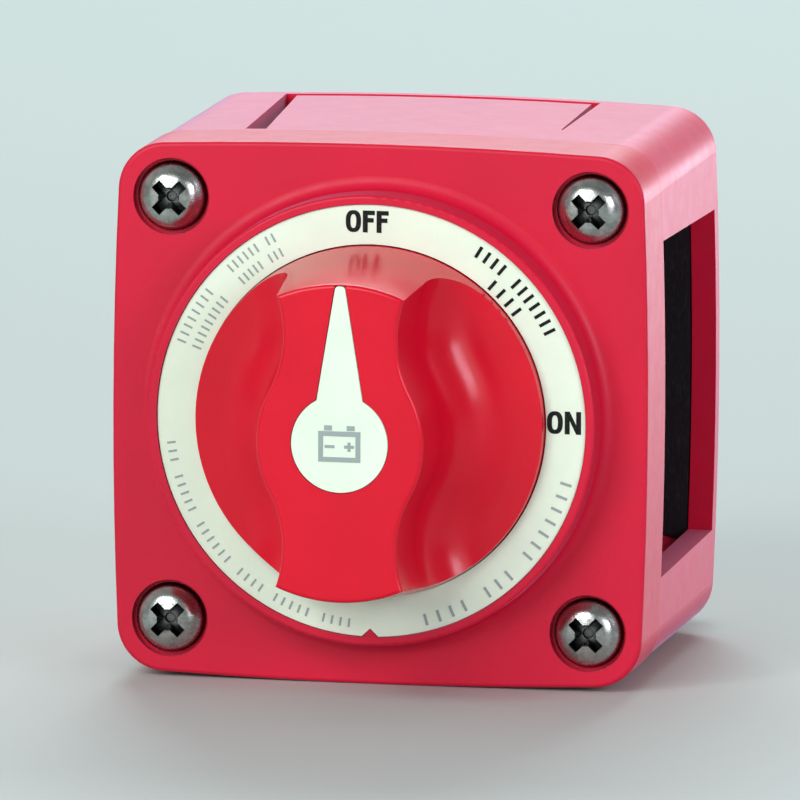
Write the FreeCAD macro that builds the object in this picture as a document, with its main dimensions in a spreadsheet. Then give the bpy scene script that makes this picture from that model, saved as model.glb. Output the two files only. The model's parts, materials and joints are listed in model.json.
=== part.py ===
# Compact two-circuit marine battery switch, surface mounted with its isolating cover.
#
# Every sub-part is drawn in the switch's own axes: X to the right, Y up, and Z along the switch axis
# towards the front, with Z = 0 on the wall behind the cover. TO_ROW then stands each one up, so that
# the finished switch faces -Y with +Z up and its origin lies on the wall face, on the switch axis.

import FreeCAD, Part
import Sketcher
import math
import os
import re

# Driving dimensions in millimetres and degrees, which the spreadsheet holds.
SIZES = {
    # outline of the case: four bowed sides that would meet at sharp corners, then rounded
    "CornerHalf": 33.74,
    "SideBow": 625.0,
    "FaceCorner": 6.2,
    "FaceEdge": 0.5,
    # depths along the switch axis
    "CaseDepth": 51.3,
    "FlangeThick": 11.8,
    "FaceThick": 3.0,
    "WallThick": 3.2,
    "NoInset": 0.0,
    "CoverInset": 0.2,
    "CoverBack": 2.6,
    "BackEdge": 1.0,
    "LinerInset": 3.4,
    "LinerThick": 0.7,
    # the four fixing screws in the corners
    "ScrewReach": 27.1,
    "ScrewHole": 2.7,
    "CounterRadius": 4.95,
    "CounterDepth": 1.2,
    "WellRadius": 6.7,
    "BossRadius": 5.2,
    "PanHead": 4.5,
    "PanHeight": 3.0,
    "PanSide": 0.9,
    "PanShoulder": 2.9,
    "PanCrown": 0.45,
    "PanRound": 2.1,
    "ShankRadius": 2.1,
    "ThreadRadius": 2.41,
    "ThreadOut": 15.0,
    "RecessReach": 2.3,
    "RecessHalf": 0.5,
    "RecessDepth": 2.2,
    "RecessDraft": 6.0,
    "RecessCone": 1.45,
    "RecessTip": 0.6,
    "RecessTipDepth": 2.6,
    # bezel, label ring and the well that the knob sits in
    "BezelRadius": 28.95,
    "BezelTop": 28.85,
    "BezelHeight": 5.5,
    "BezelRound": 0.4,
    "BezelFoot": 1.7,
    "SeatRadius": 27.75,
    "LabelRadius": 27.65,
    "LabelInner": 22.6,
    "LabelThick": 0.6,
    "LabelLift": 5.2,
    "KeyHalf": 1.1,
    "KeyTip": 26.7,
    "WellInner": 22.7,
    "WellFloor": 1.0,
    # knob
    "KnobRadius": 22.45,
    "KnobTopRadius": 20.2,
    "KnobHeight": 25.1,
    "KnobRim": 6.9,
    "KnobFoot": 1.7,
    "RidgeWaist": 7.95,
    "WaistRadius": 14.26,
    "WaistAlong": 13.5,
    "BellyRadius": 14.24,
    "ScoopEnd": 23.5,
    "ScoopOut": 30.0,
    "ScoopDraft": 2.0,
    "ScoopBowl": 8.0,
    "RidgeEdge": 0.5,
    "KnobWall": 2.2,
    "SocketBoss": 8.5,
    "SocketTop": 68.6,
    # pointer inlay on the knob's ridge
    "DiscRadius": 6.2,
    "NeedleHalf": 3.1,
    "NeedleFoot": 4.6,
    "NeedleTipHalf": 0.6,
    "NeedleTip": 20.0,
    "NeedleRound": 0.5,
    "InlayDepth": 0.8,
    "InlaySink": 0.12,
    "InlayGap": 0.1,
    # rotor and its shaft
    "ShaftRadius": 6.04,
    "BoreRadius": 6.1,
    "SquareHalf": 4.15,
    "SocketHalf": 4.25,
    "SquareTop": 68.0,
    "SquareFoot": 52.5,
    "HubRadius": 9.0,
    "HubTop": 44.6,
    "HubBoss": 11.0,
    "HubBossFoot": 45.5,
    "RotorRadius": 22.8,
    "RotorFoot": 35.0,
    "RotorTop": 42.5,
    "PivotRadius": 4.0,
    "PivotHole": 4.05,
    "PivotFoot": 27.6,
    "SealLevel": 49.0,
    "SealWire": 0.85,
    "SealGroove": 4.3,
    "WasherGap": 0.1,
    # stops that end the quarter turn
    "StopInner": 12.0,
    "StopOuter": 16.0,
    "StopFoot": 43.2,
    "StopWidth": 14.0,
    "StopGap": 1.5,
    "LugWidth": 30.0,
    "LugTop": 46.0,
    # contact base
    "BaseReach": 29.6,
    "BaseHalf": 18.9,
    "BaseRear": 25.0,
    "BaseTop": 47.1,
    "CavityRadius": 23.6,
    "Deck": 31.0,
    "BaseScrewX": 22.9,
    "BaseScrewY": 13.2,
    "BaseScrewHole": 1.9,
    "BaseScrewSeat": 36.5,
    "BaseScrewCounter": 3.3,
    "BaseScrewTip": 53.6,
    "PilotRadius": 1.5,
    # terminal studs, their contact plates and hardware
    "StudX": 11.0,
    "StudY": 14.0,
    "StudRadius": 4.76,
    "StudUndercut": 4.55,
    "StudHole": 4.7,
    "StudHead": 5.2,
    "StudTip": 4.8,
    "StudPoint": 5.8,
    "ThreadEnd": 12.4,
    "PlateInner": 11.4,
    "PlateOuter": 23.5,
    "PlateThick": 2.0,
    "PlateAngle": 38.5,
    "PlateStart": 33.5,
    "FlatWasher": 9.5,
    "FlatThick": 1.6,
    "LockWasher": 8.6,
    "LockThick": 2.2,
    "LockSlit": 1.2,
    "NutFlats": 14.29,
    "NutHeight": 8.3,
    "NutChamfer": 0.7,
    # contact bridges and the springs that press them down
    "BridgeInner": 14.2,
    "BridgeOuter": 21.6,
    "BridgeAngle": 50.0,
    "BridgeThick": 2.8,
    "BridgeGap": 0.15,
    "PocketGap": 0.2,
    "SlotTop": 36.3,
    "SpringTop": 41.2,
    "SpringRadius": 2.2,
    "SpringWire": 0.35,
    "SpringHole": 2.9,
    "SpringAngle": 14.0,
    # detent balls that click into the rotor's rim
    "BallRadius": 1.5,
    "BallReach": 24.5,
    "BallHole": 1.6,
    "BallHoleEnd": 28.9,
    "BallLevel": 38.7,
    "NotchRadius": 2.2,
    "NotchReach": 24.2,
    "DetentWire": 0.2,
    "DetentRadius": 1.1,
    # cable window and break-out tabs of the cover
    "WindowLow": 3.3,
    "WindowFront": 21.7,
    "WindowBack": 20.9,
    "TabLigament": 2.4,
    "TabLow": 4.6,
    "TabSlotLow": 2.8,
    "SlotFront": 20.5,
    "SlotBack": 22.4,
    "TabFront": 17.8,
    "TabBack": 20.6,
    "SlitEnd": 29.0,
    "SlitFront": 19.15,
    "SlitBack": 18.95,
    "SlitTabFront": 18.9,
    "SlitTabBack": 18.1,
}

CORNERS = [(1, 1), (-1, 1), (-1, -1), (1, -1)]
JOINT = "(CaseDepth - FlangeThick)"
FACE_BACK = "(CaseDepth - FaceThick)"
SEAT = "(CaseDepth + LabelLift - LabelThick)"
PLATE_TOP = "(Deck + PlateThick)"
BRIDGE_FOOT = "(Deck + PlateThick + BridgeGap)"
BRIDGE_TOP = "(Deck + PlateThick + BridgeGap + BridgeThick)"
WASHER_FOOT = "(BaseRear - FlatThick)"
LOCK_FOOT = "(BaseRear - FlatThick - LockThick)"
NUT_FOOT = "(BaseRear - FlatThick - LockThick - NutHeight)"

doc = FreeCAD.newDocument("BatterySwitch")
TO_ROW = FreeCAD.Placement(FreeCAD.Vector(), FreeCAD.Rotation(FreeCAD.Vector(1, 0, 0), 90))
sub_parts = []


# ---------------------------------------------------------------- spreadsheet, bodies and sketches


def fill_sheet():
    """Writes every driving dimension into the spreadsheet, with its alias."""
    sheet = doc.addObject("Spreadsheet::Sheet", "Sizes")
    for row, (name, value) in enumerate(SIZES.items(), 1):
        sheet.set(f"A{row}", name)
        sheet.set(f"B{row}", str(value))
        sheet.setAlias(f"B{row}", name)
    doc.recompute()


def bind(thing, prop, formula):
    """Binds a property to a formula of the spreadsheet's aliases."""
    thing.setExpression(prop, re.sub(r"[A-Z]\w+", r"Sizes.\g<0>", formula))


def sub_part(label, kind="PartDesign::Body", x=0, y=0, turn=0):
    """Adds a named sub-part that stands at x and y and is turned about the switch axis."""
    thing = doc.addObject(kind, label)
    thing.Label = label
    upright = FreeCAD.Rotation(FreeCAD.Vector(0, 0, 1), turn)
    thing.Placement = TO_ROW * FreeCAD.Placement(FreeCAD.Vector(x, y, 0), upright)
    sub_parts.append(thing)
    return thing


def origin_plane(body, role):
    """Finds one of the body's own origin planes."""
    return next(f for f in body.Origin.OriginFeatures if f.Role == role)


def new_sketch(body, level="0", role="XY_Plane"):
    """Starts a sketch on an origin plane, lifted to a level along the plane's normal."""
    sketch = body.newObject("Sketcher::SketchObject", "Sketch")
    sketch.AttachmentSupport = (origin_plane(body, role), [""])
    sketch.MapMode = "FlatFace"
    bind(sketch, "AttachmentOffset.Base.z", level)
    return sketch


def pin(sketch, geometry, point, x, y, rough=(1.0, 1.0)):
    """Holds a point of the sketch at the formulas x and y, which are roughly as given."""
    for kind, formula, value in (("DistanceX", x, rough[0]), ("DistanceY", y, rough[1])):
        index = sketch.addConstraint(Sketcher.Constraint(kind, -1, 1, geometry, point, value))
        bind(sketch, f"Constraints[{index}]", formula)


def size_radius(sketch, geometry, formula, rough=1.0):
    """Binds a circle's or an arc's radius, which is roughly as given."""
    index = sketch.addConstraint(Sketcher.Constraint("Radius", geometry, rough))
    bind(sketch, f"Constraints[{index}]", formula)


def polygon(sketch, corners):
    """Draws a closed polygon through corners, each a pair of formulas."""
    first, count = sketch.GeometryCount, len(corners)
    angles = [2 * math.pi * i / count for i in range(count)]
    rough = [FreeCAD.Vector(math.cos(a), math.sin(a), 0) for a in angles]
    for i in range(count):
        sketch.addGeometry(Part.LineSegment(rough[i], rough[(i + 1) % count]), False)
    for i, (x, y) in enumerate(corners):
        before = first + (i - 1) % count
        sketch.addConstraint(Sketcher.Constraint("Coincident", before, 2, first + i, 1))
        pin(sketch, first + i, 1, x, y)


def circle(sketch, radius, x="0", y="0"):
    """Draws a circle of the formula radius about x and y."""
    index = sketch.addGeometry(Part.Circle(FreeCAD.Vector(), FreeCAD.Vector(0, 0, 1), 1.0), False)
    pin(sketch, index, 3, x, y)
    size_radius(sketch, index, radius)


def signed(sign, formula):
    """The formula with a sign."""
    return formula if sign > 0 else f"-({formula})"


def corner_circles(sketch, radius, x, y):
    """Draws one circle in each quarter, x and y from the axis."""
    for right, up in CORNERS:
        circle(sketch, radius, signed(right, x), signed(up, y))


def square(sketch, half):
    """Draws a square about the axis."""
    polygon(sketch, [(signed(right, half), signed(up, half)) for right, up in CORNERS])


def ring_point(radius, angle):
    """A point at a radius and an angle, both formulas."""
    return f"({radius}) * cos(({angle}) * 1deg)", f"({radius}) * sin(({angle}) * 1deg)"


def sector(sketch, inner, outer, start, sweep, gap="0"):
    """Draws a block of a ring as a polygon with four chords along each side, widened by a gap."""
    steps = 4
    angles = [f"{start} + {sweep} * {i} / {steps}" for i in range(steps + 1)]
    outside = [ring_point(f"{outer} + {gap}", angle) for angle in angles]
    inside = [ring_point(f"{inner} - {gap}", angle) for angle in reversed(angles)]
    polygon(sketch, outside + inside)


def cross(sketch, reach, half):
    """Draws an upright cross: four arms that reach out from the axis and are half wide each side."""
    quarter = [(reach, half), (half, half), (half, reach)]
    corners = []
    for index, (right, up) in enumerate(CORNERS):
        points = quarter if index % 2 == 0 else quarter[::-1]
        corners += [(signed(right, x), signed(up, y)) for x, y in points]
    polygon(sketch, corners)


def bowed_square(sketch, inset):
    """Draws the case's outline, drawn in by the named inset, with its corners still sharp."""
    reach, bow = SIZES["CornerHalf"] - SIZES[inset], SIZES["SideBow"]
    offset, half_angle = reach - math.sqrt(bow**2 - reach**2), math.asin(reach / bow)
    first = sketch.GeometryCount
    for quarter in range(4):
        turn = quarter * math.pi / 2
        centre = FreeCAD.Vector(offset * math.cos(turn), offset * math.sin(turn), 0)
        arc = Part.Circle(centre, FreeCAD.Vector(0, 0, 1), bow)
        sketch.addGeometry(Part.ArcOfCircle(arc, turn - half_angle, turn + half_angle), False)
    corner = f"CornerHalf - {inset}"
    for side, (right, up) in enumerate([(1, -1), (1, 1), (-1, 1), (-1, -1)]):
        before = first + (side - 1) % 4
        sketch.addConstraint(Sketcher.Constraint("Coincident", before, 2, first + side, 1))
        pin(sketch, first + side, 1, signed(right, corner), signed(up, corner), (right * reach, up * reach))
        size_radius(sketch, first + side, "SideBow", bow)


# ---------------------------------------------------------------- features


def extrude(body, kind, sketch, length, forward):
    """Pads or pockets the sketch; a pad runs along its plane's normal when forward, a pocket too."""
    feature = body.newObject(f"PartDesign::{kind}", kind)
    feature.Profile = sketch
    bind(feature, "Length", length)
    feature.Reversed = forward if kind == "Pocket" else not forward
    sketch.Visibility = False
    return feature


def pad(body, sketch, length, forward=True):
    """Adds the sketch, raised by length."""
    return extrude(body, "Pad", sketch, length, forward)


def pocket(body, sketch, length, forward=True):
    """Cuts the sketch away over length."""
    return extrude(body, "Pocket", sketch, length, forward)


def cut_both_ways(body, sketch, length):
    """Cuts the sketch away over length, half of it each side of the sketch's plane."""
    feature = pocket(body, sketch, length)
    feature.SideType = "Symmetric"
    return feature


def turned(body, kind, corners):
    """Revolves a polygon of radius and level pairs about the switch axis."""
    sketch = new_sketch(body, role="XZ_Plane")
    polygon(sketch, corners)
    feature = body.newObject(f"PartDesign::{kind}", kind)
    feature.Profile = sketch
    feature.ReferenceAxis = (sketch, ["V_Axis"])
    sketch.Visibility = False
    return feature


def rounded(body, base, radius, test):
    """Fillets the edges of base that pass the test."""
    doc.recompute()
    edges = [f"Edge{i}" for i, edge in enumerate(base.Shape.Edges, 1) if test(edge)]
    feature = body.newObject("PartDesign::Fillet", "Fillet")
    feature.Base = (base, edges)
    bind(feature, "Radius", radius)
    return feature


def is_upright(edge):
    """Whether the edge runs along the switch axis."""
    first, last = edge.Vertexes[0].Point, edge.Vertexes[-1].Point
    return abs(first.z - last.z) > 1 and math.hypot(first.x - last.x, first.y - last.y) < 0.01


def at_level(edge, level):
    """Whether the whole edge lies at a level of the switch axis."""
    return abs(edge.BoundBox.ZMin - level) < 0.01 and abs(edge.BoundBox.ZMax - level) < 0.01


def away_from_axis(edge):
    """The radius of the edge's middle from the switch axis."""
    middle = edge.valueAt((edge.FirstParameter + edge.LastParameter) / 2)
    return math.hypot(middle.x, middle.y)


def case_block(body, inset, foot, length):
    """Pads the case's outline and rounds its four upright corners."""
    sketch = new_sketch(body, foot)
    bowed_square(sketch, inset)
    block = pad(body, sketch, length)
    return rounded(body, block, f"FaceCorner - {inset}", is_upright)


# ---------------------------------------------------------------- housing, cover and label


def front_housing():
    """Square front shell with its bezel, knob well, shaft bearing, stops and screw wells."""
    body = sub_part("front_housing")
    block = case_block(body, "NoInset", JOINT, "FlangeThick")
    face = SIZES["CaseDepth"]
    rounded(body, block, "FaceEdge", lambda edge: at_level(edge, face))
    hollow = new_sketch(body, JOINT)
    bowed_square(hollow, "WallThick")
    pocket(body, hollow, "FlangeThick - FaceThick")
    wells = new_sketch(body, JOINT)
    corner_circles(wells, "WellRadius", "ScrewReach", "ScrewReach")
    pad(body, wells, "FlangeThick - FaceThick")
    bezel_top = "CaseDepth + BezelHeight"
    bezel = turned(body, "Revolution", [
        ("0", FACE_BACK), ("BezelRadius", FACE_BACK), ("BezelRadius", "CaseDepth"),
        ("BezelTop", bezel_top), ("0", bezel_top),
    ])
    lip = SIZES["CaseDepth"] + SIZES["BezelHeight"]
    lipped = rounded(body, bezel, "BezelRound", lambda edge: at_level(edge, lip))
    foot_radius = SIZES["BezelRadius"] + 0.1
    rounded(body, lipped, "BezelFoot",
            lambda edge: at_level(edge, face) and away_from_axis(edge) < foot_radius)
    seat = new_sketch(body, SEAT)
    circle(seat, "SeatRadius")
    pocket(body, seat, "BezelHeight")
    well = new_sketch(body, "CaseDepth + WellFloor")
    circle(well, "WellInner")
    pocket(body, well, "BezelHeight")
    key = new_sketch(body, f"{SEAT} - 0.2")
    polygon(key, [("-KeyHalf", "-SeatRadius - 0.1"), ("KeyHalf", "-SeatRadius - 0.1"), ("0", "-KeyTip")])
    pad(body, key, "LabelThick + 0.2")
    hub = new_sketch(body, "HubBossFoot")
    circle(hub, "HubBoss")
    pad(body, hub, "CaseDepth - HubBossFoot")
    stop_ribs(body)
    bore = new_sketch(body, "HubBossFoot")
    circle(bore, "BoreRadius")
    pocket(body, bore, "BezelHeight + FlangeThick")
    holes = new_sketch(body, JOINT)
    corner_circles(holes, "ScrewHole", "ScrewReach", "ScrewReach")
    pocket(body, holes, "FlangeThick")
    counter = new_sketch(body, "CaseDepth - CounterDepth")
    corner_circles(counter, "CounterRadius", "ScrewReach", "ScrewReach")
    pocket(body, counter, "BezelHeight")
    pilots = new_sketch(body, FACE_BACK)
    corner_circles(pilots, "PilotRadius", "BaseScrewX", "BaseScrewY")
    pocket(body, pilots, f"BaseScrewTip - {FACE_BACK} + 0.3")


def arc_block(body, start, width, foot, length):
    """Pads a block that fills an angle of the ring between the stops' two radii."""
    end = f"{start} + {width}"
    sketch = new_sketch(body, foot)
    polygon(sketch, [
        ring_point("StopInner", start), ring_point("StopOuter", start),
        ring_point("StopOuter", end), ring_point("StopInner", end),
    ])
    return pad(body, sketch, length)


def stop_ribs(body):
    """Two ribs under the face that the rotor's lug meets at OFF and at ON."""
    for start in ("LugWidth + StopGap", "-90 - StopGap - StopWidth"):
        arc_block(body, start, "StopWidth", "StopFoot", "CaseDepth - StopFoot")


def isolating_cover():
    """Deep rear cover with screw columns, one open cable window and three break-out tabs."""
    body = sub_part("isolating_cover")
    block = case_block(body, "CoverInset", "0", JOINT)
    rounded(body, block, "BackEdge", lambda edge: at_level(edge, 0))
    hollow = new_sketch(body, "CoverBack")
    bowed_square(hollow, "WallThick")
    pocket(body, hollow, JOINT)
    columns = new_sketch(body, "CoverBack")
    corner_circles(columns, "BossRadius", "ScrewReach", "ScrewReach")
    pad(body, columns, f"{JOINT} - CoverBack")
    holes = new_sketch(body)
    corner_circles(holes, "ScrewHole", "ScrewReach", "ScrewReach")
    pocket(body, holes, JOINT)
    window = new_sketch(body, "BaseHalf", "YZ_Plane")
    polygon(window, [
        ("-WindowFront", f"{JOINT} + 1"), ("-WindowBack", "WindowLow"),
        ("WindowBack", "WindowLow"), ("WindowFront", f"{JOINT} + 1"),
    ])
    pocket(body, window, "CornerHalf")
    inside = "CornerHalf - WallThick - 0.5"
    for role, level, forward in (("YZ_Plane", f"-({inside})", False), ("XZ_Plane", f"-({inside})", False),
                                 ("XZ_Plane", inside, True)):
        slot = new_sketch(body, level, role)
        tab_slot(slot)
        pocket(body, slot, "CornerHalf", forward)


def tab_slot(sketch):
    """The slot round a break-out tab: wide on one side, a fine slit on the other."""
    front = f"{JOINT} - TabLigament"
    polygon(sketch, [
        ("-SlotFront", front), ("-SlotBack", "TabSlotLow"),
        ("SlitBack", "TabSlotLow"), ("SlitFront", "SlitEnd"),
        ("SlitTabFront", "SlitEnd"), ("SlitTabBack", "TabLow"),
        ("-TabBack", "TabLow"), ("-TabFront", front),
    ])


def rear_liner():
    """Black insulating sheet on the inside of the cover's back, behind the terminals."""
    body = sub_part("rear_liner")
    sheet = new_sketch(body, "CoverBack")
    bowed_square(sheet, "LinerInset")
    pad(body, sheet, "LinerThick")
    corners = new_sketch(body, "CoverBack")
    corner_circles(corners, "BossRadius + 0.3", "ScrewReach", "ScrewReach")
    pocket(body, corners, "LinerThick")


def label_ring():
    """Flat ring that carries the position marks, notched at the bottom for the bezel's key."""
    body = sub_part("label_ring")
    ring = new_sketch(body, SEAT)
    circle(ring, "LabelRadius")
    circle(ring, "LabelInner")
    pad(body, ring, "LabelThick")
    notch = new_sketch(body, SEAT)
    polygon(notch, [
        ("-KeyHalf - 0.1", "-SeatRadius"), ("KeyHalf + 0.1", "-SeatRadius"), ("0", "-KeyTip + 0.1"),
    ])
    pocket(body, notch, "LabelThick")


# ---------------------------------------------------------------- knob


def scoop_outline(sketch):
    """The right finger scoop in plan: a waist, the ridge's belly and a waist again, closed outside."""
    waist, belly = SIZES["WaistRadius"], SIZES["BellyRadius"]
    along, end = SIZES["WaistAlong"], SIZES["ScoopEnd"]
    centre_x = SIZES["RidgeWaist"] + waist
    tangent = math.asin(along / (waist + belly))
    outer = math.asin((end - along) / waist)
    belly_x = centre_x - (waist + belly) * math.cos(tangent)
    axis = FreeCAD.Vector(0, 0, 1)
    upper = Part.Circle(FreeCAD.Vector(centre_x, along, 0), axis, waist)
    middle = Part.Circle(FreeCAD.Vector(belly_x, 0, 0), axis, belly)
    lower = Part.Circle(FreeCAD.Vector(centre_x, -along, 0), axis, waist)
    sketch.addGeometry(Part.ArcOfCircle(upper, math.pi - outer, math.pi + tangent), False)
    sketch.addGeometry(Part.ArcOfCircle(middle, -tangent, tangent), False)
    sketch.addGeometry(Part.ArcOfCircle(lower, math.pi - tangent, math.pi + outer), False)
    edge_x = centre_x - waist * math.cos(outer)
    far = SIZES["ScoopOut"]
    closing = [(edge_x, -end), (far, -end), (far, end), (edge_x, end)]
    for first, last in zip(closing, closing[1:]):
        sketch.addGeometry(Part.LineSegment(FreeCAD.Vector(*first, 0), FreeCAD.Vector(*last, 0)), False)
    sketch.addConstraint(Sketcher.Constraint("Tangent", 0, 2, 1, 2))
    sketch.addConstraint(Sketcher.Constraint("Tangent", 1, 1, 2, 1))
    for before, point, after, other in ((2, 2, 3, 1), (3, 2, 4, 1), (4, 2, 5, 1), (5, 2, 0, 1)):
        sketch.addConstraint(Sketcher.Constraint("Coincident", before, point, after, other))
    for arc, sign in ((0, 1), (2, -1)):
        rough = (centre_x, sign * along)
        pin(sketch, arc, 3, "RidgeWaist + WaistRadius", signed(sign, "WaistAlong"), rough)
        size_radius(sketch, arc, "WaistRadius", waist)
    size_radius(sketch, 1, "BellyRadius", belly)
    pin(sketch, 4, 1, "ScoopOut", "-ScoopEnd", (far, -end))
    pin(sketch, 4, 2, "ScoopOut", "ScoopEnd", (far, end))
    for line in (3, 5):
        sketch.addConstraint(Sketcher.Constraint("Horizontal", line))


def needle(sketch, gap):
    """The pointer's tapered needle, widened all round by the gap."""
    polygon(sketch, [
        (f"-NeedleHalf - {gap}", "NeedleFoot"), (f"NeedleHalf + {gap}", "NeedleFoot"),
        (f"NeedleTipHalf + {gap}", f"NeedleTip + {gap}"), (f"-NeedleTipHalf - {gap}", f"NeedleTip + {gap}"),
    ])


def knob():
    """Round knob with a waisted grip ridge between two finger scoops, hollow underneath."""
    body = sub_part("knob")
    top, rim, foot = "CaseDepth + KnobHeight", "CaseDepth + KnobRim", "CaseDepth + KnobFoot"
    turned(body, "Revolution", [
        ("0", foot), ("KnobRadius", foot), ("KnobRadius", f"{rim} - 0.5"), ("KnobTopRadius", top), ("0", top),
    ])
    scoop_sketch = new_sketch(body, rim)
    scoop_outline(scoop_sketch)
    scoop = pocket(body, scoop_sketch, "KnobHeight")
    bind(scoop, "TaperAngle", "ScoopDraft")
    scoops = body.newObject("PartDesign::Mirrored", "Mirrored")
    scoops.Originals = [scoop]
    scoops.MirrorPlane = (origin_plane(body, "YZ_Plane"), [""])
    body.Tip = scoops
    floor, crown = SIZES["CaseDepth"] + SIZES["KnobRim"], SIZES["CaseDepth"] + SIZES["KnobHeight"]
    inside = SIZES["KnobRadius"] - 1.0
    bowls = rounded(body, scoops, "ScoopBowl",
                    lambda edge: at_level(edge, floor) and away_from_axis(edge) < inside)
    rounded(body, bowls, "RidgeEdge", lambda edge: at_level(edge, crown))
    for draw in (lambda s: circle(s, "DiscRadius + InlayGap"), lambda s: needle(s, "InlayGap")):
        recess = new_sketch(body, f"{top} - InlayDepth - InlaySink")
        draw(recess)
        pocket(body, recess, "KnobHeight")
    under = new_sketch(body, foot)
    circle(under, "KnobRadius - KnobWall")
    circle(under, "SocketBoss")
    pocket(body, under, "KnobRim - KnobFoot - KnobWall")
    for up in (1, -1):
        core = new_sketch(body, foot)
        polygon(core, [
            ("-RidgeWaist + KnobWall", signed(up, "SocketBoss + 0.6")),
            ("RidgeWaist - KnobWall", signed(up, "SocketBoss + 0.6")),
            ("RidgeWaist - KnobWall", signed(up, "KnobTopRadius - KnobWall")),
            ("-RidgeWaist + KnobWall", signed(up, "KnobTopRadius - KnobWall")),
        ])
        pocket(body, core, "KnobHeight - KnobFoot - KnobWall - InlayDepth")
    socket = new_sketch(body, foot)
    square(socket, "SocketHalf")
    pocket(body, socket, f"SocketTop - ({foot})")


def pointer_inlay():
    """Disc and needle that fill the recess on the knob's ridge."""
    body = sub_part("pointer_inlay")
    foot = "CaseDepth + KnobHeight - InlayDepth - InlaySink"
    disc = new_sketch(body, foot)
    circle(disc, "DiscRadius")
    pad(body, disc, "InlayDepth")
    point = new_sketch(body, foot)
    needle(point, "0")
    whole = pad(body, point, "InlayDepth")
    tip = SIZES["NeedleTip"]
    rounded(body, whole, "NeedleRound",
            lambda edge: edge.BoundBox.ZLength > 0.1 and abs(edge.CenterOfMass.y - tip) < 0.01)


# ---------------------------------------------------------------- rotor and what it carries


def rotor():
    """Disc that carries the contact bridges, with the shaft, its square end, pivot and stop lug."""
    body = sub_part("rotor")
    groove_foot, groove_top = "SealLevel - SealWire - 0.1", "SealLevel + SealWire + 0.1"
    turned(body, "Revolution", [
        ("0", "PivotFoot"), ("PivotRadius", "PivotFoot"), ("PivotRadius", "RotorFoot"),
        ("RotorRadius", "RotorFoot"), ("RotorRadius", "RotorTop"), ("HubRadius", "RotorTop"),
        ("HubRadius", "HubTop"), ("ShaftRadius", "HubTop"), ("ShaftRadius", groove_foot),
        ("SealGroove", groove_foot), ("SealGroove", groove_top), ("ShaftRadius", groove_top),
        ("ShaftRadius", "SquareFoot"), ("0", "SquareFoot"),
    ])
    end = new_sketch(body, "SquareFoot - 0.5")
    square(end, "SquareHalf")
    pad(body, end, "SquareTop - SquareFoot + 0.5")
    arc_block(body, "0", "LugWidth", "RotorTop - 0.5", "LugTop - RotorTop + 0.5")
    notches = new_sketch(body, "RotorFoot")
    for across, up in ((1, 0), (0, 1), (-1, 0), (0, -1)):
        circle(notches, "NotchRadius", f"{across} * NotchReach", f"{up} * NotchReach")
    pocket(body, notches, "RotorTop - RotorFoot")
    for side in (0, 180):
        bridge_pocket(body, side)


def bridge_pocket(body, side):
    """Slot for one contact bridge on the rotor's underside, with two holes for its springs."""
    start, sweep = f"{side} - BridgeAngle / 2 - 0.6", "(BridgeAngle + 1.2)"
    slot = new_sketch(body, "RotorFoot")
    sector(slot, "BridgeInner", "BridgeOuter", start, sweep, "PocketGap")
    pocket(body, slot, "SlotTop - RotorFoot")
    holes = new_sketch(body, "RotorFoot")
    for way in ("-", "+"):
        x, y = ring_point("(BridgeInner + BridgeOuter) / 2", f"{side} {way} SpringAngle")
        circle(holes, "SpringHole", x, y)
    pocket(body, holes, "SpringTop - RotorFoot")


def contact_bridges():
    """Two copper bars, each of which joins one pair of contact plates at ON."""
    for index, side in enumerate((0, 180), 1):
        body = sub_part(f"contact_bridge_{index}")
        bar = new_sketch(body, BRIDGE_FOOT)
        sector(bar, "BridgeInner", "BridgeOuter", f"{side} - BridgeAngle / 2", "BridgeAngle")
        whole = pad(body, bar, "BridgeThick")
        foot = SIZES["Deck"] + SIZES["PlateThick"] + SIZES["BridgeGap"]
        rounded(body, whole, "SpringWire", lambda edge: at_level(edge, foot))


def coil_spring(label, radius, wire, foot, height, turns, x=0, y=0, turn=0):
    """A round-wire compression spring that stands on the formula foot."""
    body = sub_part(label, x=x, y=y, turn=turn)
    section = new_sketch(body, role="XZ_Plane")
    circle(section, wire, radius, f"{foot} + {wire} * 1.1")
    coil = body.newObject("PartDesign::AdditiveHelix", "Coil")
    coil.Profile = section
    coil.ReferenceAxis = (section, ["V_Axis"])
    coil.Mode = "height-turns-angle"
    bind(coil, "Height", f"{height} - {wire} * 2.2")
    coil.Turns = turns
    section.Visibility = False
    return body


def bridge_springs():
    """Four springs that press the bridges on to the contact plates."""
    middle = (SIZES["BridgeInner"] + SIZES["BridgeOuter"]) / 2
    angles = [side + way * SIZES["SpringAngle"] for side in (0, 180) for way in (-1, 1)]
    for index, angle in enumerate(angles, 1):
        x, y = middle * math.cos(math.radians(angle)), middle * math.sin(math.radians(angle))
        height = f"(SpringTop - {BRIDGE_TOP})"
        coil_spring(f"bridge_spring_{index}", "SpringRadius", "SpringWire", BRIDGE_TOP, height, 4, x, y)


def shaft_seal():
    """O-ring in the shaft's groove."""
    body = sub_part("shaft_seal")
    section = new_sketch(body, role="XZ_Plane")
    circle(section, "SealWire", "SealGroove + SealWire", "SealLevel")
    ring = body.newObject("PartDesign::Revolution", "Revolution")
    ring.Profile = section
    ring.ReferenceAxis = (section, ["V_Axis"])
    section.Visibility = False


def flat_ring(label, inner, outer, foot, thick, x=0, y=0):
    """A plain washer."""
    body = sub_part(label, x=x, y=y)
    ring = new_sketch(body, foot)
    circle(ring, outer)
    circle(ring, inner)
    pad(body, ring, thick)
    return body


# ---------------------------------------------------------------- contact base and detents


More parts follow.
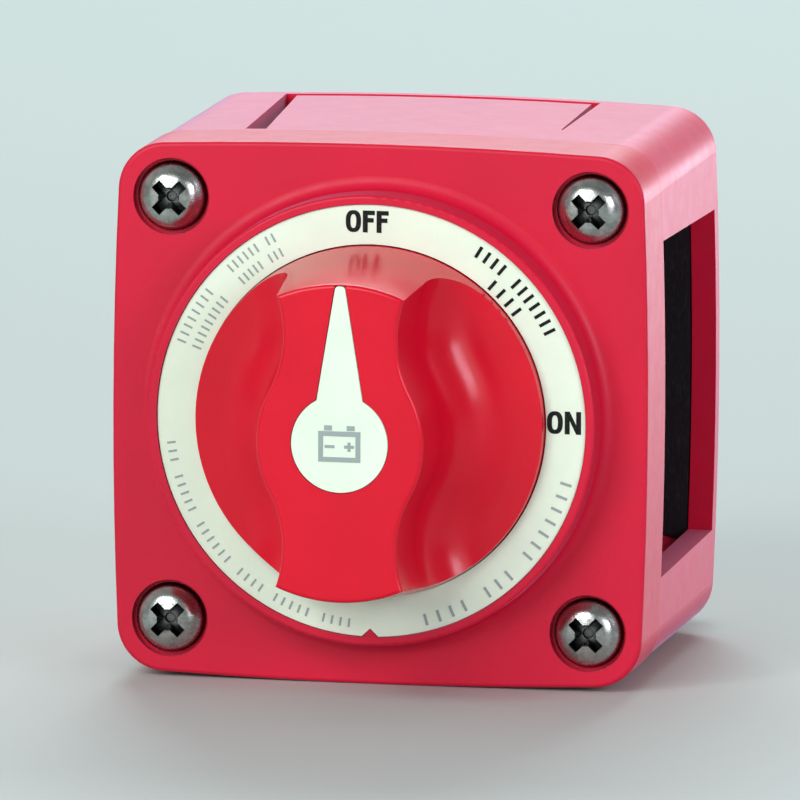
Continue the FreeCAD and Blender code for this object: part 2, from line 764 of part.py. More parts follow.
def contact_base():
    """Black moulding that holds the studs and makes the chamber that the rotor turns in."""
    body = sub_part("contact_base")
    outline = new_sketch(body, "BaseRear")
    cross(outline, "BaseReach", "BaseHalf")
    block = pad(body, outline, "BaseTop - BaseRear")
    rounded(body, block, "BackEdge", is_upright)
    cavity = new_sketch(body, "Deck")
    circle(cavity, "CavityRadius")
    pocket(body, cavity, "BaseTop - Deck")
    studs = new_sketch(body, "BaseRear")
    corner_circles(studs, "StudHole", "StudX", "StudY")
    pocket(body, studs, "Deck - BaseRear")
    pivot = new_sketch(body, "PivotFoot - 0.4")
    circle(pivot, "PivotHole")
    pocket(body, pivot, "Deck - PivotFoot + 0.4")
    holes = new_sketch(body, "BaseRear")
    corner_circles(holes, "BaseScrewHole", "BaseScrewX", "BaseScrewY")
    pocket(body, holes, "BaseTop - BaseRear")
    seats = new_sketch(body, "BaseRear")
    corner_circles(seats, "BaseScrewCounter", "BaseScrewX", "BaseScrewY")
    pocket(body, seats, "BaseScrewSeat - BaseRear")
    detents = new_sketch(body, role="YZ_Plane")
    circle(detents, "BallHole", "0", "BallLevel")
    cut_both_ways(body, detents, "2 * BallHoleEnd")


def base_gasket():
    """Rubber gasket between the contact base and the back of the face."""
    body = sub_part("base_gasket")
    outline = new_sketch(body, "BaseTop")
    cross(outline, "BaseReach", "BaseHalf")
    circle(outline, "CavityRadius")
    corner_circles(outline, "BaseScrewHole", "BaseScrewX", "BaseScrewY")
    pad(body, outline, f"{FACE_BACK} - BaseTop")


def detents():
    """A ball and its spring at each side of the rotor's rim."""
    for index, side in enumerate((1, -1), 1):
        ball = sub_part(f"detent_ball_{index}", "Part::Sphere")
        bind(ball, "Radius", "BallRadius")
        place = FreeCAD.Vector(side * SIZES["BallReach"], 0, SIZES["BallLevel"])
        ball.Placement = TO_ROW * FreeCAD.Placement(place, FreeCAD.Rotation())
        room = "(BallHoleEnd - BallReach - BallRadius)"
        spring = coil_spring(f"detent_spring_{index}", "DetentRadius", "DetentWire", "0", room, 4)
        back = FreeCAD.Vector(side * (SIZES["BallReach"] + SIZES["BallRadius"]), 0, SIZES["BallLevel"])
        lying = FreeCAD.Rotation(FreeCAD.Vector(0, 1, 0), side * 90)
        spring.Placement = TO_ROW * FreeCAD.Placement(back, lying)


# ---------------------------------------------------------------- terminals and fasteners


def contact_plates():
    """Four copper plates on the chamber floor, each round the head of its stud."""
    starts = ["PlateStart", "180 - PlateStart - PlateAngle", "180 + PlateStart", "360 - PlateStart - PlateAngle"]
    for index, (start, (right, up)) in enumerate(zip(starts, CORNERS), 1):
        body = sub_part(f"contact_plate_{index}")
        plate = new_sketch(body, "Deck")
        sector(plate, "PlateInner", "PlateOuter", start, "PlateAngle")
        pad(body, plate, "PlateThick")
        hole = new_sketch(body, "Deck")
        circle(hole, "StudHead", signed(right, "StudX"), signed(up, "StudY"))
        pocket(body, hole, "PlateThick")


def terminals():
    """Each terminal's stud, flat washer, lock washer and nut."""
    for index, (right, up) in enumerate(CORNERS, 1):
        x, y = right * SIZES["StudX"], up * SIZES["StudY"]
        stud = sub_part(f"terminal_stud_{index}", x=x, y=y)
        turned(stud, "Revolution", [
            ("0", "StudTip"), ("StudRadius - 1", "StudTip"), ("StudRadius", "StudPoint"),
            ("StudRadius", "ThreadEnd"), ("StudUndercut", "ThreadEnd"), ("StudUndercut", "Deck"),
            ("StudHead", "Deck"), ("StudHead", PLATE_TOP), ("0", PLATE_TOP),
        ])
        flat_ring(f"flat_washer_{index}", "StudRadius + 0.3", "FlatWasher", WASHER_FOOT, "FlatThick", x, y)
        lock_washer(index, x, y)
        hex_nut(index, x, y)


def lock_washer(index, x, y):
    """A spring washer with its slit."""
    body = flat_ring(f"lock_washer_{index}", "StudRadius + 0.15", "LockWasher", LOCK_FOOT, "LockThick", x, y)
    slit = new_sketch(body, LOCK_FOOT)
    polygon(slit, [
        ("0", "-LockSlit / 2"), ("LockWasher + 1", "-LockSlit / 2"),
        ("LockWasher + 1", "LockSlit / 2"), ("0", "LockSlit / 2"),
    ])
    pocket(body, slit, "LockThick")


def hex_nut(index, x, y):
    """A hexagon nut with its corners bevelled at both ends."""
    body = sub_part(f"terminal_nut_{index}", x=x, y=y, turn=15 * index)
    outline = new_sketch(body, NUT_FOOT)
    polygon(outline, [ring_point("NutFlats / 2 / cos(30deg)", str(60 * i)) for i in range(6)])
    circle(outline, "StudUndercut + 0.03")
    pad(body, outline, "NutHeight")
    flat, corner = "NutFlats / 2 + 0.05", "NutFlats / 2 / cos(30deg) + 1"
    for end, way in ((NUT_FOOT, 1), (LOCK_FOOT, -1)):
        inward = f"{end} {'+' if way > 0 else '-'} NutChamfer * 2"
        turned(body, "Groove", [(flat, end), (corner, end), (corner, inward)])


def cross_recess(body, top):
    """Cuts a cross recess for the driver into a screw's head."""
    recess = new_sketch(body, f"{top} - RecessDepth")
    cross(recess, "RecessReach", "RecessHalf")
    bind(pocket(body, recess, "RecessDepth + 1"), "TaperAngle", "RecessDraft")
    turned(body, "Groove", [
        ("0", f"{top} - RecessTipDepth"), ("RecessTip", f"{top} - RecessTipDepth"),
        ("RecessCone", top), ("RecessCone", f"{top} + 1"), ("0", f"{top} + 1"),
    ])


def mounting_screws():
    """Four long pan-head screws that pass through the housing and the cover into the wall."""
    seat, top = "(CaseDepth - CounterDepth)", "(CaseDepth - CounterDepth + PanHeight)"
    for index, (right, up) in enumerate(CORNERS, 1):
        x, y = right * SIZES["ScrewReach"], up * SIZES["ScrewReach"]
        body = sub_part(f"mounting_screw_{index}", x=x, y=y, turn=45)
        shape = turned(body, "Revolution", [
            ("0", "-ThreadOut - 3"), ("ThreadRadius", "-ThreadOut"), ("ThreadRadius", "0"),
            ("ShankRadius", "0"), ("ShankRadius", seat), ("PanHead", seat),
            ("PanHead", f"{seat} + PanSide"), ("PanShoulder", f"{top} - PanCrown"), ("0", top),
        ])
        side = SIZES["CaseDepth"] - SIZES["CounterDepth"] + SIZES["PanSide"]
        shoulder = side - SIZES["PanSide"] + SIZES["PanHeight"] - SIZES["PanCrown"]
        rounded(body, shape, "PanRound", lambda edge: at_level(edge, side) or at_level(edge, shoulder))
        cross_recess(body, top)


def base_screws():
    """Four thread-forming screws that hold the contact base to the housing."""
    head, seat = "(BaseScrewSeat - PanHeight / 2)", "BaseScrewSeat"
    for index, (right, up) in enumerate(CORNERS, 1):
        x, y = right * SIZES["BaseScrewX"], up * SIZES["BaseScrewY"]
        body = sub_part(f"base_screw_{index}", x=x, y=y)
        turned(body, "Revolution", [
            ("0", head), ("BaseScrewCounter - 0.9", head), ("BaseScrewCounter - 0.3", f"{head} + 0.7"),
            ("BaseScrewCounter - 0.3", seat), ("PilotRadius", seat), ("PilotRadius", "BaseScrewTip - 1"),
            ("0", "BaseScrewTip"),
        ])
        recess = new_sketch(body, head)
        cross(recess, "RecessReach / 2", "RecessHalf / 2")
        pocket(body, recess, "RecessDepth / 2")


# ---------------------------------------------------------------- build, test and write


def write_parts():
    """Tests every object and every sub-part's shape, then writes one file per sub-part."""
    failed = [o.Label for o in doc.Objects if {"Invalid", "Error"} & set(o.State)]
    for thing in sub_parts:
        shape = thing.Shape
        if shape.isNull() or not shape.isValid() or len(shape.Solids) != 1:
            failed.append(f"{thing.Label} shape")
    if failed:
        raise RuntimeError(f"failed: {failed}")
    os.makedirs("parts", exist_ok=True)
    for thing in sub_parts:
        thing.Shape.exportStep(f"parts/{thing.Label}.step")


fill_sheet()
front_housing()
isolating_cover()
rear_liner()
label_ring()
knob()
pointer_inlay()
rotor()
contact_bridges()
bridge_springs()
shaft_seal()
flat_ring("thrust_washer", "BoreRadius + 0.1", "HubRadius - 0.2", "HubTop + WasherGap",
          "HubBossFoot - HubTop - 2 * WasherGap")
contact_base()
base_gasket()
detents()
contact_plates()
terminals()
mounting_screws()
base_screws()
doc.recompute()
write_parts()
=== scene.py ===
"""The looks of the battery switch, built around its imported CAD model.

Lengths are in metres in the row frame: X to the right, Z up, and -Y out of the wall towards the user.
Dial angles are in degrees, clockwise from the top of the dial as the user sees it.
"""
import json
import math

import bpy
from mathutils import Matrix, Vector


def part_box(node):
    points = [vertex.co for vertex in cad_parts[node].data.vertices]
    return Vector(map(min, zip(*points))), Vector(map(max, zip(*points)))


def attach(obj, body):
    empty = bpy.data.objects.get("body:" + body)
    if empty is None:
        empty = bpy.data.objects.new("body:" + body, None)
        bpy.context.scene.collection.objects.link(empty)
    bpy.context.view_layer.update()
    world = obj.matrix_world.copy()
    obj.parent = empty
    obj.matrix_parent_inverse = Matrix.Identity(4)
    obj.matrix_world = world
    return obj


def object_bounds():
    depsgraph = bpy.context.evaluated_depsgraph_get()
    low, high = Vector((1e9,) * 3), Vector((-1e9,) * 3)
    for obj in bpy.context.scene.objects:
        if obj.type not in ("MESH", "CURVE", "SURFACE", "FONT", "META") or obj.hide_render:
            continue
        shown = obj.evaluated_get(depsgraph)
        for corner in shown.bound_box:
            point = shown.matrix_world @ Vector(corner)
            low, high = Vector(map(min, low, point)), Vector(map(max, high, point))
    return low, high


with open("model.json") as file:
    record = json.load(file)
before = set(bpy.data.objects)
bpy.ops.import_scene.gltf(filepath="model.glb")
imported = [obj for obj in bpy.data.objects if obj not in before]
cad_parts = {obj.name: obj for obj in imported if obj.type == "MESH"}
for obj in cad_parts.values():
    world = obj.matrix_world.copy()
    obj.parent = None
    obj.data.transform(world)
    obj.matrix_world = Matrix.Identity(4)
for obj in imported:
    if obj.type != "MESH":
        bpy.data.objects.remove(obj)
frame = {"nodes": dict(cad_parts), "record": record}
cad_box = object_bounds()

MM = 0.001

# Camera: the angle that the object is seen from, and how wide a slice of the world the picture shows.
CAMERA_AZIMUTH = 11.5
CAMERA_ELEVATION = 8.6
CAMERA_ROLL = 0.3
CAMERA_DISTANCE = 2.5
PICTURE_WIDTH = 0.102
SENSOR_WIDTH = 36.0

# Prints are thin films that stand just proud of the face they are printed on.
PRINT_THICKNESS = 0.05 * MM
OFF_HEIGHT = 2.8 * MM
ON_HEIGHT = 2.9 * MM

# Threads: the pitch, the depth of the bump, and where along Y the thread begins.
SCREW_PITCH, SCREW_THREAD_DEPTH, SCREW_THREAD_START = 1.3 * MM, 0.55 * MM, 0.0
STUD_PITCH, STUD_THREAD_DEPTH, STUD_THREAD_START = 1.6 * MM, 0.7 * MM, -12.4 * MM

# Colours, in linear red, green and blue.
MOULDED_RED = (0.62, 0.004, 0.036)
RED_FIBRE = (0.75, 0.06, 0.10)
FROST = (0.78, 0.64, 1.0)
KNOB_RED = (0.63, 0.002, 0.020)
LABEL_COLOUR = (0.74, 0.88, 0.72)
PRINT_BLACK = (0.005, 0.005, 0.006)
PRINT_GREY = (0.30, 0.37, 0.36)
STEEL_CLEAN = (0.46, 0.48, 0.46)
STEEL_STAINED = (0.22, 0.24, 0.22)
# The darkest steel colour is painted shade, laid where recesses and corners fall into shadow.
STEEL_RECESS_SHADE = (0.012, 0.012, 0.014)
TIN_CLEAN = (0.66, 0.64, 0.60)
TIN_WORN = (0.50, 0.45, 0.40)
BLACK_RESIN = (0.010, 0.008, 0.011)
BLACK_FIBRE = (0.035, 0.030, 0.036)
RUBBER_BLACK = (0.02, 0.02, 0.021)
RUBBER_BLOOM = (0.12, 0.12, 0.12)
NYLON_DEEP = (0.80, 0.78, 0.72)
NYLON_PALE = (0.88, 0.87, 0.83)
FLOOR_COLOUR = (0.44, 0.475, 0.465)
ROOM_COLOUR = (0.80, 0.86, 0.85)
WHITE_LIGHT = (1, 1, 1)
LILAC_LIGHT = (0.92, 0.86, 1.0)
AQUA_LIGHT = (0.84, 1.0, 1.0)

# How dark each red moulding is beside MOULDED_RED, and how much it frosts at low angles.
HOUSING_SHADE, HOUSING_FROST = 0.94, 0.35
COVER_SHADE, COVER_FROST = 0.98, 1.0

# The side of the room that the world's light is strongest on.
BRIGHT_SIDE = (-0.35, 0.94, 0)

# ---------------------------------------------------------------- node helpers


def set_inputs(tree, made, inputs):
    """Sets a node's inputs by name or number. A value is a number, a vector or another node's output."""
    for name, value in inputs.items():
        if isinstance(value, bpy.types.NodeSocket):
            tree.links.new(value, made.inputs[name])
        else:
            made.inputs[name].default_value = value


def node(tree, kind, inputs=None, **settings):
    """A new shader node with these settings and inputs."""
    made = tree.nodes.new("ShaderNode" + kind)
    for name, value in settings.items():
        setattr(made, name, value)
    set_inputs(tree, made, inputs or {})
    return made


def rgba(colour):
    """A colour as a socket holds it, with an alpha of 1. Another node's output passes unchanged."""
    return colour if isinstance(colour, bpy.types.NodeSocket) else (*colour, 1)


def times(colour, factor):
    """The colour made darker or lighter by factor."""
    return tuple(min(1.0, c * factor) for c in colour)


def place(tree):
    """Coordinates in metres that stay on the piece as it moves."""
    return node(tree, "TexCoord").outputs["Object"]


def calculate(tree, operation, first, second):
    """The result of one sum on two numbers or outputs."""
    return node(tree, "Math", {0: first, 1: second}, operation=operation).outputs[0]


def noise(tree, size, detail=3.0, roughness=0.5, stretch=(1, 1, 1)):
    """Noise from 0 to 1 whose features are about size metres across, drawn out along stretch."""
    scaled = node(tree, "Mapping", {"Vector": place(tree), "Scale": [1 / s for s in stretch]})
    texture = node(tree, "TexNoise", {"Vector": scaled.outputs[0], "Scale": 1 / size,
                                      "Detail": detail, "Roughness": roughness})
    return texture.outputs["Fac"]


def spread(tree, value, low, high, start=0.3, end=0.7):
    """value, from start to end, mapped to the range from low to high."""
    mapped = node(tree, "MapRange", {"Value": value, "From Min": start, "From Max": end,
                                     "To Min": low, "To Max": high})
    return mapped.outputs[0]


def blend_colours(tree, share, first, second):
    """The colour that is first where share is 0 and second where it is 1."""
    mix = node(tree, "Mix", {0: share, 6: rgba(first), 7: rgba(second)}, data_type="RGBA")
    return mix.outputs[2]


def mottled(tree, size, colour, darkest, lightest, detail=3.0):
    """The colour in clouds about size metres across, times a factor from darkest to lightest."""
    clouds = spread(tree, noise(tree, size, detail), 0, 1)
    return blend_colours(tree, clouds, times(colour, darkest), times(colour, lightest))


def bump(tree, height, depth, below=None):
    """A normal from a height of 0 to 1 that is depth metres deep, on top of another bump's normal."""
    inputs = {"Height": height, "Strength": 1.0, "Distance": depth}
    if below is not None:
        inputs["Normal"] = below
    return node(tree, "Bump", inputs).outputs[0]


def thread_height(tree, start, pitch):
    """The height, from 0 to 1, of grooves round the Y axis at a thread's pitch, where Y is over start."""
    along = node(tree, "SeparateXYZ", {0: place(tree)}).outputs["Y"]
    flanks = calculate(tree, "PINGPONG", calculate(tree, "DIVIDE", along, pitch / 2), 1.0)
    threaded = calculate(tree, "GREATER_THAN", along, start)
    return calculate(tree, "MULTIPLY", flanks, threaded)


def new_material(name):
    """An empty material with a Principled shader wired to its output."""
    material = bpy.data.materials.new(name)
    material.use_nodes = True
    tree = material.node_tree
    tree.nodes.clear()
    shader = node(tree, "BsdfPrincipled")
    node(tree, "OutputMaterial", {0: shader.outputs[0]})
    return material, tree, shader


# ---------------------------------------------------------------- materials


def moulded_red(name, colour, frost):
    """Satin glass-filled moulding: a spark-eroded grain, faint flow marks, and frosting at low angles."""
    material, tree, shader = new_material(name)
    base = mottled(tree, 14 * MM, colour, 0.95, 1.05, detail=4.0)
    fibres = spread(tree, noise(tree, 0.35 * MM, 2.0), 0, 1, 0.35, 0.75)
    grain = noise(tree, 0.22 * MM, 2.0, 0.6)
    waves = noise(tree, 5 * MM, 2.0)
    set_inputs(tree, shader, {
        "Base Color": blend_colours(tree, spread(tree, fibres, 0, 0.04, 0, 1), base, RED_FIBRE),
        "Roughness": spread(tree, noise(tree, 3 * MM, 5.0, 0.6), 0.40, 0.50),
        "Normal": bump(tree, grain, 0.004 * MM, bump(tree, waves, 0.008 * MM)),
        "IOR": 1.5,
        "Specular IOR Level": 0.3,
        "Sheen Weight": frost,
        "Sheen Roughness": 0.20,
        "Sheen Tint": rgba(FROST),
    })
    return material


def glossy_red():
    """The knob's smooth moulding, with a soft polish and the faintest unevenness."""
    material, tree, shader = new_material("knob_gloss")
    peel = noise(tree, 2.2 * MM, 2.0)
    scuffs = noise(tree, 1.5 * MM, 4.0, 0.6)
    set_inputs(tree, shader, {
        "Base Color": mottled(tree, 12 * MM, KNOB_RED, 0.95, 1.05),
        "Roughness": spread(tree, scuffs, 0.21, 0.26),
        "Normal": bump(tree, peel, 0.008 * MM),
        "IOR": 1.5,
        "Specular IOR Level": 0.32,
    })
    return material


def luminous_film():
    """Pale green photoluminescent film: chalky, finely grained and faintly uneven in colour."""
    material, tree, shader = new_material("luminous_film")
    base = mottled(tree, 6 * MM, LABEL_COLOUR, 0.96, 1.03)
    grains = spread(tree, noise(tree, 0.12 * MM, 2.0, 0.7), 0, 1)
    grain_share = spread(tree, grains, 0, 0.25, 0, 1)
    set_inputs(tree, shader, {
        "Base Color": blend_colours(tree, grain_share, base, times(LABEL_COLOUR, 0.86)),
        "Roughness": spread(tree, grains, 0.42, 0.55, 0, 1),
        "Normal": bump(tree, grains, 0.004 * MM),
        "Subsurface Weight": 0.15,
        "Subsurface Radius": (0.4 * MM, 0.5 * MM, 0.4 * MM),
        "Subsurface Scale": 1.0,
    })
    return material


def ink(name, colour):
    """Screen-printed ink, thinner in places so that the film shows faintly."""
    material, tree, shader = new_material(name)
    wear = spread(tree, noise(tree, 0.25 * MM, 3.0, 0.7), 0, 0.04, 0.5, 0.75)
    set_inputs(tree, shader, {
        "Base Color": blend_colours(tree, wear, colour, LABEL_COLOUR),
        "Roughness": spread(tree, noise(tree, 0.6 * MM), 0.45, 0.6),
        "Specular IOR Level": 0.15,
        "Normal": bump(tree, noise(tree, 0.1 * MM, 2.0), 0.003 * MM),
    })
    return material


def stainless():
    """Tumbled stainless steel: dents, uneven polish, painted shade darkening recesses and corners, and the
    screws' thread.
    """
    material, tree, shader = new_material("stainless_tumbled")
    dents = noise(tree, 0.9 * MM, 3.0, 0.6)
    scratches = noise(tree, 0.12 * MM, 3.0, 0.6)
    tumbled = bump(tree, scratches, 0.004 * MM, bump(tree, dents, 0.04 * MM))
    thread = thread_height(tree, SCREW_THREAD_START, SCREW_PITCH)
    stain = spread(tree, noise(tree, 1.4 * MM, 5.0, 0.7), 0, 1, 0.42, 0.72)
    metal = blend_colours(tree, stain, STEEL_CLEAN, STEEL_STAINED)
    # Painted shade: where ambient occlusion finds recesses and corners, such as the counterbores round the
    # screw heads, the steel turns near black.
    open_air = node(tree, "AmbientOcclusion", {"Distance": 2.0 * MM}, samples=8).outputs["AO"]
    set_inputs(tree, shader, {
        "Base Color": blend_colours(tree, spread(tree, open_air, 1, 0, 0.40, 0.85), metal, STEEL_RECESS_SHADE),
        "Metallic": 1.0,
        "Roughness": spread(tree, stain, 0.22, 0.38, 0, 1),
        "Normal": bump(tree, thread, SCREW_THREAD_DEPTH, tumbled),
    })
    return material


def tinned_copper():
    """Tin-plated copper: soft, slightly yellow grey with a worn, milky polish, and the studs' thread."""
    material, tree, shader = new_material("tin_plate")
    stain = spread(tree, noise(tree, 2.5 * MM, 5.0, 0.65), 0, 1)
    plated = bump(tree, noise(tree, 0.15 * MM, 3.0, 0.6), 0.005 * MM)
    thread = thread_height(tree, STUD_THREAD_START, STUD_PITCH)
    set_inputs(tree, shader, {
        "Base Color": blend_colours(tree, stain, TIN_CLEAN, TIN_WORN),
        "Metallic": 1.0,
        "Roughness": spread(tree, stain, 0.30, 0.46, 0, 1),
        "Normal": bump(tree, thread, STUD_THREAD_DEPTH, plated),
    })
    return material


def black_moulding():
    """Black glass-filled moulding with paler fibres near the surface and a dull, grained skin."""
    material, tree, shader = new_material("black_glass_filled")
    fibres = spread(tree, noise(tree, 0.25 * MM, 2.0, stretch=(1, 1, 5)), 0, 1, 0.5, 0.75)
    fibre_share = spread(tree, fibres, 0, 0.5, 0, 1)
    set_inputs(tree, shader, {
        "Base Color": blend_colours(tree, fibre_share, BLACK_RESIN, BLACK_FIBRE),
        "Roughness": spread(tree, noise(tree, 4 * MM, 4.0), 0.45, 0.58),
        "Specular IOR Level": 0.25,
        "Normal": bump(tree, noise(tree, 0.2 * MM, 2.0, 0.6), 0.012 * MM),
    })
    return material


def seal_rubber():
    """Matt black elastomer with a bloom of pale dust."""
    material, tree, shader = new_material("seal_elastomer")
    bloom = spread(tree, noise(tree, 1.5 * MM, 5.0, 0.7), 0, 0.3, 0.5, 0.8)
    set_inputs(tree, shader, {
        "Base Color": blend_colours(tree, bloom, RUBBER_BLACK, RUBBER_BLOOM),
        "Roughness": spread(tree, bloom, 0.7, 0.85, 0, 0.3),
        "Normal": bump(tree, noise(tree, 0.15 * MM, 3.0), 0.01 * MM),
    })
    return material


def white_nylon():
    """Natural nylon: milky, with a little light let through."""
    material, tree, shader = new_material("natural_nylon")
    clouds = spread(tree, noise(tree, 3 * MM, 3.0), 0, 1)
    set_inputs(tree, shader, {
        "Base Color": blend_colours(tree, clouds, NYLON_DEEP, NYLON_PALE),
        "Roughness": spread(tree, clouds, 0.38, 0.5, 0, 1),
        "Normal": bump(tree, noise(tree, 0.2 * MM, 2.0), 0.004 * MM),
        "Subsurface Weight": 0.2,
        "Subsurface Radius": (0.8 * MM, 0.8 * MM, 0.7 * MM),
        "Subsurface Scale": 1.0,
    })
    return material


def paint_cad_nodes():
    """Gives every CAD node the finish of its material slot in the record."""
    finishes = {
        "housing_red": moulded_red("housing_satin", times(MOULDED_RED, HOUSING_SHADE), HOUSING_FROST),
        "cover_red": moulded_red("cover_satin", times(MOULDED_RED, COVER_SHADE), COVER_FROST),
        "knob_red": glossy_red(),
        "luminous_label": luminous_film(),
        "black_moulding": black_moulding(),
        "seal_rubber": seal_rubber(),
        "white_nylon": white_nylon(),
        "tinned_copper": tinned_copper(),
        "stainless_steel": stainless(),
    }
    for part in frame["record"]["subparts"]:
        mesh = frame["nodes"][part["node"]].data
        mesh.materials.clear()
        mesh.materials.append(finishes[part["material_slot"]])


# ---------------------------------------------------------------- printed outlines


def ring(radius_x, radius_y, power, points=48):
    """A closed superellipse: power 2 is an ellipse, and more is squarer."""
    outline = []
    for step in range(points):
        angle = 2 * math.pi * step / points
        across, up = math.cos(angle), math.sin(angle)
        outline.append((math.copysign(abs(across) ** (2 / power), across) * radius_x,
                        math.copysign(abs(up) ** (2 / power), up) * radius_y))
    return outline


def bar(width, height, centre=(0, 0)):
    """A rectangle about its centre."""
    x, y = centre
    return [(x + sx * width / 2, y + sy * height / 2) for sx, sy in ((-1, -1), (1, -1), (1, 1), (-1, 1))]


def letter_o(height):
    """A bold O's outlines, outer and inner, and its width."""
    width, stroke = 0.70 * height, 0.215 * height
    outer = ring(width / 2, height / 2, 2.5)
    inner = ring(width / 2 - stroke, height / 2 - 0.85 * stroke, 2.5)
    return [outer, inner], width


def letter_f(height):
    """A bold F's outline and its width."""
    width, stroke = 0.55 * height, 0.225 * height
    left, bottom, waist = -width / 2, -height / 2, -0.04 * height
    outline = [(left, bottom), (left + stroke, bottom), (left + stroke, waist),
               (left + 0.9 * width, waist), (left + 0.9 * width, waist + 0.9 * stroke),
               (left + stroke, waist + 0.9 * stroke), (left + stroke, -bottom - 0.9 * stroke),
               (-left, -bottom - 0.9 * stroke), (-left, -bottom), (left, -bottom)]
    return [outline], width


def letter_n(height):
    """A bold N's outline and its width."""
    width, stroke = 0.72 * height, 0.215 * height
    left, bottom = -width / 2, -height / 2
    slant = 0.40 * height
    outline = [(left, bottom), (left + stroke, bottom), (left + stroke, -bottom - slant),
               (-left - stroke, bottom), (-left, bottom), (-left, -bottom), (-left - stroke, -bottom),
               (-left - stroke, bottom + slant), (left + stroke, -bottom), (left, -bottom)]
    return [outline], width


def word(letters, gap):
    """The outlines of a word centred on the origin. letters is a list of (outlines, width)."""
    cursor = -(sum(width for _, width in letters) + gap * (len(letters) - 1)) / 2
    outlines = []
    for shapes, width in letters:
        middle = cursor + width / 2
        outlines += [[(x + middle, y) for x, y in shape] for shape in shapes]
        cursor += width + gap
    return outlines


def turned(outlines, radius, angle, upright=False):
    """Outlines moved to a dial angle on a radius, standing upright or with their feet to the centre."""
    a = math.radians(angle)
    middle = Vector((radius * math.sin(a), radius * math.cos(a)))
    turn = Matrix.Rotation(0 if upright else -a, 2)
    return [[tuple(middle + turn @ Vector(point)) for point in outline] for outline in outlines]


def tick_row(radius, first_angle, last_angle, height, width, groups):
    """Radial ticks along an arc, in groups of the given counts with a gap after each group.

    The radius, height and width are in millimetres.
    """
    slots = sum(groups) + len(groups) - 1
    step = (last_angle - first_angle) / max(1, slots - 1)
    outlines, index = [], 0
    for count in groups:
        for _ in range(count):
            angle = first_angle + index * step
            outlines += turned([bar(width * MM, height * MM)], radius * MM, angle)
            index += 1
        index += 1
    return outlines


def battery_sign():
    """The outlines of a plain battery: a case with two terminals, a minus and a plus."""
    width, height, line = 5.4 * MM, 3.9 * MM, 0.62 * MM
    middle = -0.35 * MM
    terminal_x, terminal_z = 1.45 * MM, middle + height / 2 + 0.42 * MM
    sign_x, stroke = 1.25 * MM, 0.38 * MM
    outlines = [bar(width, height, (0, middle)),
                bar(width - 2 * line, height - 2 * line, (0, middle))]
    for side in (-1, 1):
        outlines.append(bar(1.0 * MM, line, (side * terminal_x, terminal_z)))
        outlines.append(bar(1.25 * MM, stroke, (side * sign_x, middle)))
    for rise in (0.40 * MM, -0.40 * MM):
        outlines.append(bar(stroke, stroke, (sign_x, middle + rise)))
    return outlines


# ---------------------------------------------------------------- printed pieces


def film_mesh(name, outlines, face_y):
    """A thin film with those outlines, in (X, Z), on a face at face_y.

    An outline inside another is a hole.
    """
    curve = bpy.data.curves.new(name, "CURVE")
    curve.dimensions, curve.fill_mode = "2D", "BOTH"
    curve.extrude = PRINT_THICKNESS / 2
    for outline in outlines:
        spline = curve.splines.new("POLY")
        spline.points.add(len(outline) - 1)
        for point, (x, y) in zip(spline.points, outline):
            point.co = (x, y, 0, 1)
        spline.use_cyclic_u = True
    drawing = bpy.data.objects.new(name + "_drawing", curve)
    bpy.context.scene.collection.objects.link(drawing)
    bpy.context.view_layer.update()
    mesh = bpy.data.meshes.new_from_object(drawing.evaluated_get(bpy.context.evaluated_depsgraph_get()))
    bpy.data.objects.remove(drawing)
    upright = Matrix.Rotation(math.radians(90), 4, "X")
    mesh.transform(Matrix.Translation((0, face_y - PRINT_THICKNESS / 2, 0)) @ upright)
    mesh.name = name
    return mesh


def printed(name, outlines, face_y, body, material):
    """A printed piece that rides on a body."""
    mesh = film_mesh(name, outlines, face_y)
    mesh.materials.append(material)
    piece = bpy.data.objects.new(name, mesh)
    bpy.context.scene.collection.objects.link(piece)
    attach(piece, body)


def print_label():
    """OFF, ON and plain graduations on the label ring."""
    face_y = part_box("label_ring")[0].y
    black, grey = ink("ink_black", PRINT_BLACK), ink("ink_grey", PRINT_GREY)
    off = word([letter_o(OFF_HEIGHT), letter_f(OFF_HEIGHT), letter_f(OFF_HEIGHT)], 0.24 * MM)
    on = word([letter_o(ON_HEIGHT), letter_n(ON_HEIGHT)], 0.26 * MM)
    scale = tick_row(26.0, 32, 62, 1.6, 0.42, (4, 7))
    scale += tick_row(23.7, 41, 52, 1.5, 0.42, (4,))
    fine = tick_row(26.2, 106, 164, 1.5, 0.35, (7, 3, 4))
    fine += tick_row(26.1, 186, 262, 1.1, 0.25, (4, 5, 4, 6, 5, 3))
    fine += tick_row(26.3, 291, 307, 1.2, 0.25, (8,))
    fine += tick_row(24.2, 291, 308, 1.2, 0.25, (9,))
    fine += tick_row(26.3, 316, 331, 1.2, 0.25, (6, 2))
    fine += tick_row(24.2, 316, 331, 1.2, 0.25, (5, 3))
    prints = (
        ("print_off", turned(off, 25.5 * MM, -1.4, upright=True), black),
        ("print_on", turned(on, 24.9 * MM, 88.5, upright=True), black),
        ("print_scale", scale, black),
        ("print_fine_scale", fine, grey),
    )
    for name, outlines, colour in prints:
        printed(name, outlines, face_y, "case", colour)


def print_pointer():
    """A plain battery sign on the pointer's disc."""
    face_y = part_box("pointer_inlay")[0].y
    grey = ink("ink_sign", PRINT_GREY)
    printed("print_battery_sign", battery_sign(), face_y, "knob_group", grey)


# ---------------------------------------------------------------- stage, light and camera


def pale_floor():
    """A wide plain floor just under the object."""
    below = cad_box[0].z - 0.02 * MM
    half = 12.0
    corners = [(-half, -half, below), (half, -half, below), (half, half, below), (-half, half, below)]
    mesh = bpy.data.meshes.new("floor")
    mesh.from_pydata(corners, [], [(0, 1, 2, 3)])
    material, tree, shader = new_material("floor_paint")
    set_inputs(tree, shader, {"Base Color": rgba(FLOOR_COLOUR), "Roughness": 0.7})
    mesh.materials.append(material)
    floor = bpy.data.objects.new("floor", mesh)
    bpy.context.scene.collection.objects.link(floor)


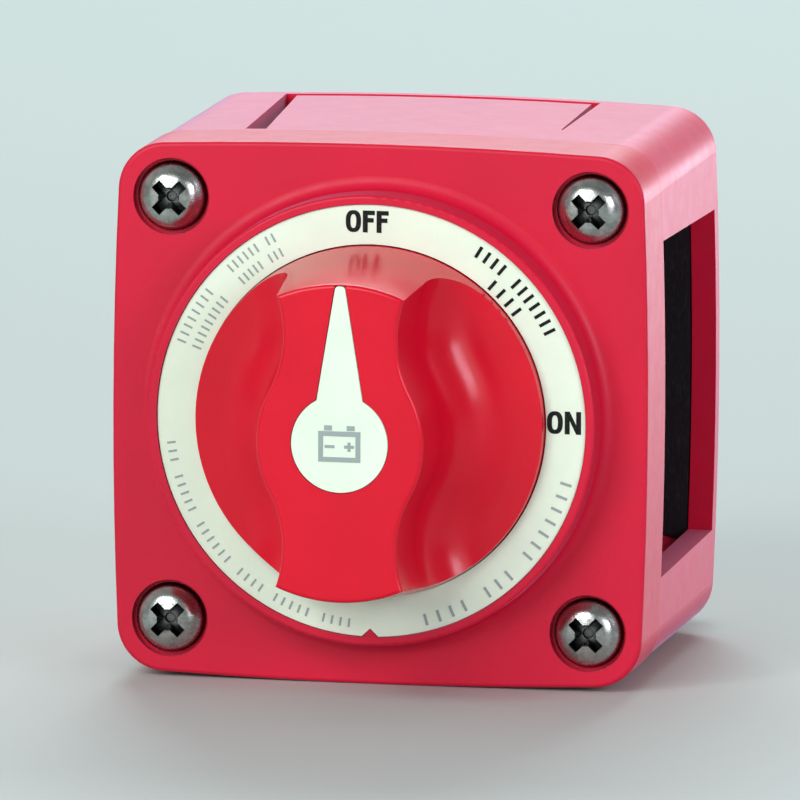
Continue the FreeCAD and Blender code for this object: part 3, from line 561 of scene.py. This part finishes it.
def pale_world():
    """Pale light from all round, strongest from behind the object and a little to its left."""
    world = bpy.data.worlds.new("room")
    world.use_nodes = True
    tree = world.node_tree
    direction = node(tree, "TexCoord").outputs["Generated"]
    towards = node(tree, "VectorMath", {0: direction, 1: BRIGHT_SIDE}, operation="DOT_PRODUCT")
    strength = spread(tree, towards.outputs["Value"], 0.24, 0.90, -0.5, 1.0)
    set_inputs(tree, tree.nodes["Background"], {"Color": rgba(ROOM_COLOUR), "Strength": strength})
    bpy.context.scene.world = world


def object_middle():
    """The middle of the part of the object that stands out from the wall."""
    low, high = cad_box
    return Vector((0, low.y / 2, (low.z + high.z) / 2))


def softbox(name, direction, distance, size, power, colour=WHITE_LIGHT):
    """A rectangular light, size wide and high, that faces the object's middle from a direction."""
    light = bpy.data.lights.new(name, "AREA")
    light.shape, light.size, light.size_y = "RECTANGLE", size[0], size[1]
    light.energy, light.color = power, colour
    lamp = bpy.data.objects.new(name, light)
    away = Vector(direction).normalized()
    lamp.location = object_middle() + away * distance
    lamp.rotation_euler = (-away).to_track_quat("-Z", "Y").to_euler()
    bpy.context.scene.collection.objects.link(lamp)


def studio_lights():
    """A large soft key from the upper left, a fill from the right, a spark on each side and two rims."""
    softbox("key_upper_left", (-0.35, -0.85, 0.45), 1.1, (0.75, 0.75), 8.6)
    softbox("spark_left", (-0.50, -0.75, 0.62), 1.1, (0.10, 0.10), 0.8)
    softbox("side_right", (0.62, -0.72, 0.28), 1.0, (0.34, 0.55), 1.0)
    softbox("spark_right", (0.80, -0.54, 0.32), 1.1, (0.30, 0.42), 4.4, LILAC_LIGHT)
    softbox("rim_right", (0.55, 0.83, 0.0), 1.2, (0.5, 0.06), 6.0, LILAC_LIGHT)
    softbox("rim_top", (-0.10, 0.80, 0.60), 1.2, (0.7, 0.4), 8.6, AQUA_LIGHT)


def place_camera():
    """A long lens at the angle that shows the front, the top and the right side."""
    camera = bpy.data.cameras.new("camera")
    camera.sensor_width = SENSOR_WIDTH
    camera.lens = SENSOR_WIDTH * CAMERA_DISTANCE / PICTURE_WIDTH
    camera.clip_start, camera.clip_end = 0.1, 50
    eye = bpy.data.objects.new("camera", camera)
    azimuth, elevation = math.radians(CAMERA_AZIMUTH), math.radians(CAMERA_ELEVATION)
    back = Vector((math.sin(azimuth) * math.cos(elevation),
                   -math.cos(azimuth) * math.cos(elevation), math.sin(elevation)))
    eye.location = object_middle() + back * CAMERA_DISTANCE
    aim = (-back).to_track_quat("-Z", "Y").to_matrix().to_4x4()
    eye.rotation_euler = (aim @ Matrix.Rotation(math.radians(CAMERA_ROLL), 4, "Z")).to_euler()
    bpy.context.scene.collection.objects.link(eye)
    bpy.context.scene.camera = eye


bpy.context.scene.view_settings.view_transform = "Standard"
place_camera()
paint_cad_nodes()
print_label()
print_pointer()
pale_floor()
pale_world()
studio_lights()
